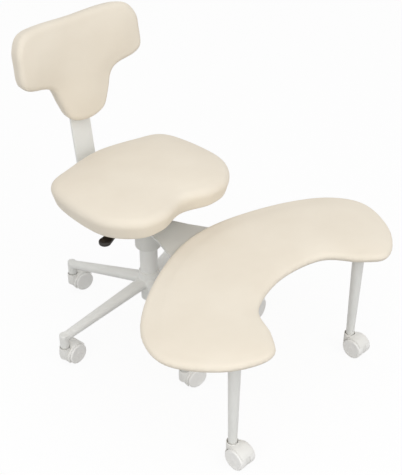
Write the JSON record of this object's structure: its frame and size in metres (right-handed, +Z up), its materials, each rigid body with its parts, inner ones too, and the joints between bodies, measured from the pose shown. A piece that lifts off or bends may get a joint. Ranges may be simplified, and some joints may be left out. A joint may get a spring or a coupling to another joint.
{
  "type": "office_chair",
  "caption": "Wheeled office seat for sitting cross-legged: padded notched seat, T-shaped backrest, gas lift with lever, and a crescent footrest on casters that swings round the column.",
  "frame": {"origin": "on the floor, under the middle of the chair's box; the column stands 144 mm behind it", "axes": "+Z up; -Y ahead, the way the sitter faces with the footrest in front; +X to the sitter's left"},
  "size_m": [0.832, 0.9079, 0.8603],
  "materials": {
    "upholstery": "smooth matte",
    "plywood": "raw, sanded",
    "white_paint": "satin powder coat",
    "steel": "ground",
    "white_plastic": "moulded",
    "black_plastic": "moulded",
    "bush_plastic": "moulded"
  },
  "bodies": {
    "base": {"base_hub": "white_paint", "base_arm_1": "white_paint", "base_arm_2": "white_paint", "base_arm_3": "white_paint", "base_arm_4": "white_paint", "base_arm_5": "white_paint", "column_tube": "white_paint", "guide_bush": "bush_plastic", "thrust_bearing": "steel", "support_ring": "white_paint", "base_caster_1_stem": "steel", "base_caster_2_stem": "steel", "base_caster_3_stem": "steel", "base_caster_4_stem": "steel", "base_caster_5_stem": "steel"},
    "footrest": {"swing_collar": "white_paint", "collar_bush_upper": "bush_plastic", "collar_bush_lower": "bush_plastic", "arm_plate": "white_paint", "footrest_board": "plywood", "footrest_pad": "upholstery", "footrest_leg_left": "white_paint", "footrest_leg_right": "white_paint", "footrest_caster_left_stem": "steel", "footrest_caster_right_stem": "steel"},
    "piston": {"piston_rod": "steel", "retaining_clip": "steel"},
    "seat": {"gas_cylinder": "steel", "seat_mechanism": "white_paint", "lever_pin": "steel", "seat_board": "plywood", "seat_pad": "upholstery", "back_bar": "white_paint", "back_board": "plywood", "back_pad": "upholstery"},
    "lever": {"lever_rod": "steel", "lever_paddle": "black_plastic"},
    "release": {"release_pin": "steel"},
    "base_caster_1": {"base_caster_1_hood": "white_plastic"},
    "base_caster_1_wheel_left": {"base_caster_1_wheel_left": "white_plastic"},
    "base_caster_1_wheel_right": {"base_caster_1_wheel_right": "white_plastic"},
    "base_caster_2": {"base_caster_2_hood": "white_plastic"},
    "base_caster_2_wheel_left": {"base_caster_2_wheel_left": "white_plastic"},
    "base_caster_2_wheel_right": {"base_caster_2_wheel_right": "white_plastic"},
    "base_caster_3": {"base_caster_3_hood": "white_plastic"},
    "base_caster_3_wheel_left": {"base_caster_3_wheel_left": "white_plastic"},
    "base_caster_3_wheel_right": {"base_caster_3_wheel_right": "white_plastic"},
    "base_caster_4": {"base_caster_4_hood": "white_plastic"},
    "base_caster_4_wheel_left": {"base_caster_4_wheel_left": "white_plastic"},
    "base_caster_4_wheel_right": {"base_caster_4_wheel_right": "white_plastic"},
    "base_caster_5": {"base_caster_5_hood": "white_plastic"},
    "base_caster_5_wheel_left": {"base_caster_5_wheel_left": "white_plastic"},
    "base_caster_5_wheel_right": {"base_caster_5_wheel_right": "white_plastic"},
    "footrest_caster_left": {"footrest_caster_left_hood": "white_plastic"},
    "footrest_caster_left_wheel_left": {"footrest_caster_left_wheel_left": "white_plastic"},
    "footrest_caster_left_wheel_right": {"footrest_caster_left_wheel_right": "white_plastic"},
    "footrest_caster_right": {"footrest_caster_right_hood": "white_plastic"},
    "footrest_caster_right_wheel_left": {"footrest_caster_right_wheel_left": "white_plastic"},
    "footrest_caster_right_wheel_right": {"footrest_caster_right_wheel_right": "white_plastic"}
  },
  "joints": [
    {"name": "footrest_swing", "type": "hinge", "parent": "base", "child": "footrest", "pos_m": [0, 0.144, 0.31], "axis": [0, 0, 1], "continuous": true},
    {"name": "seat_swivel", "type": "hinge", "parent": "base", "child": "piston", "pos_m": [0, 0.144, 0.1], "axis": [0, 0, 1], "continuous": true},
    {"name": "seat_lift", "type": "slide", "parent": "piston", "child": "seat", "axis": [0, 0, 1], "range_m": [0, 0.1]},
    {"name": "lever_lift", "type": "hinge", "parent": "seat", "child": "lever", "pos_m": [-0.03905, 0.13534, 0.4088], "axis": [-0.2164, 0.9763, 0], "range_deg": [0, 4]},
    {"name": "pin_press", "type": "slide", "parent": "seat", "child": "release", "axis": [0, 0, -1], "range_m": [0, 0.0028], "stiffness_N_per_m": 50},
    {"name": "base_caster_1_swivel", "type": "hinge", "parent": "base", "child": "base_caster_1", "pos_m": [-0.03204, 0.42961, 0.07], "axis": [0, 0, 1], "continuous": true},
    {"name": "base_caster_1_roll_left", "type": "hinge", "parent": "base_caster_1", "child": "base_caster_1_wheel_left", "pos_m": [-0.0068, 0.42424, 0.0288], "axis": [0.2079, 0.9781, 0], "continuous": true},
    {"name": "base_caster_1_roll_right", "type": "hinge", "parent": "base_caster_1", "child": "base_caster_1_wheel_right", "pos_m": [-0.0068, 0.42424, 0.0288], "axis": [0.2079, 0.9781, 0], "continuous": true},
    {"name": "base_caster_2_swivel", "type": "hinge", "parent": "base", "child": "base_caster_2", "pos_m": [-0.28153, 0.20179, 0.07], "axis": [0, 0, 1], "continuous": true},
    {"name": "base_caster_2_roll_left", "type": "hinge", "parent": "base_caster_2", "child": "base_caster_2_wheel_left", "pos_m": [-0.25573, 0.20179, 0.0288], "axis": [0, 1, 0], "continuous": true},
    {"name": "base_caster_2_roll_right", "type": "hinge", "parent": "base_caster_2", "child": "base_caster_2_wheel_right", "pos_m": [-0.25573, 0.20179, 0.0288], "axis": [0, 1, 0], "continuous": true},
    {"name": "base_caster_3_swivel", "type": "hinge", "parent": "base", "child": "base_caster_3", "pos_m": [-0.14196, -0.10589, 0.07], "axis": [0, 0, 1], "continuous": true},
    {"name": "base_caster_3_roll_left", "type": "hinge", "parent": "base_caster_3", "child": "base_caster_3_wheel_left", "pos_m": [-0.11693, -0.11213, 0.0288], "axis": [0.2419, 0.9703, 0], "continuous": true},
    {"name": "base_caster_3_roll_right", "type": "hinge", "parent": "base_caster_3", "child": "base_caster_3_wheel_right", "pos_m": [-0.11693, -0.11213, 0.0288], "axis": [0.2419, 0.9703, 0], "continuous": true},
    {"name": "base_caster_4_swivel", "type": "hinge", "parent": "base", "child": "base_caster_4", "pos_m": [0.19379, -0.06823, 0.07], "axis": [0, 0, 1], "continuous": true},
    {"name": "base_caster_4_roll_left", "type": "hinge", "parent": "base_caster_4", "child": "base_caster_4_wheel_left", "pos_m": [0.2192, -0.06375, 0.0288], "axis": [-0.1736, 0.9848, 0], "continuous": true},
    {"name": "base_caster_4_roll_right", "type": "hinge", "parent": "base_caster_4", "child": "base_caster_4_wheel_right", "pos_m": [0.2192, -0.06375, 0.0288], "axis": [-0.1736, 0.9848, 0], "continuous": true},
    {"name": "base_caster_5_swivel", "type": "hinge", "parent": "base", "child": "base_caster_5", "pos_m": [0.26173, 0.26273, 0.07], "axis": [0, 0, 1], "continuous": true},
    {"name": "base_caster_5_roll_left", "type": "hinge", "parent": "base_caster_5", "child": "base_caster_5_wheel_left", "pos_m": [0.28743, 0.26497, 0.0288], "axis": [-0.0872, 0.9962, 0], "continuous": true},
    {"name": "base_caster_5_roll_right", "type": "hinge", "parent": "base_caster_5", "child": "base_caster_5_wheel_right", "pos_m": [0.28743, 0.26497, 0.0288], "axis": [-0.0872, 0.9962, 0], "continuous": true},
    {"name": "footrest_caster_left_swivel", "type": "hinge", "parent": "footrest", "child": "footrest_caster_left", "pos_m": [0.263, -0.361, 0.07], "axis": [0, 0, 1], "continuous": true},
    {"name": "footrest_caster_left_roll_left", "type": "hinge", "parent": "footrest_caster_left", "child": "footrest_caster_left_wheel_left", "pos_m": [0.2603, -0.38666, 0.0288], "axis": [0.9945, -0.1045, 0], "continuous": true},
    {"name": "footrest_caster_left_roll_right", "type": "hinge", "parent": "footrest_caster_left", "child": "footrest_caster_left_wheel_right", "pos_m": [0.2603, -0.38666, 0.0288], "axis": [0.9945, -0.1045, 0], "continuous": true},
    {"name": "footrest_caster_right_swivel", "type": "hinge", "parent": "footrest", "child": "footrest_caster_right", "pos_m": [-0.263, -0.361, 0.07], "axis": [0, 0, 1], "continuous": true},
    {"name": "footrest_caster_right_roll_left", "type": "hinge", "parent": "footrest_caster_right", "child": "footrest_caster_right_wheel_left", "pos_m": [-0.2657, -0.38666, 0.0288], "axis": [0.9945, -0.1045, 0], "continuous": true},
    {"name": "footrest_caster_right_roll_right", "type": "hinge", "parent": "footrest_caster_right", "child": "footrest_caster_right_wheel_right", "pos_m": [-0.2657, -0.38666, 0.0288], "axis": [0.9945, -0.1045, 0], "continuous": true}
  ],
  "couplings": [
    {"joint": "pin_press", "follows": "lever_lift", "m_per_rad": 0.04}
  ]
}
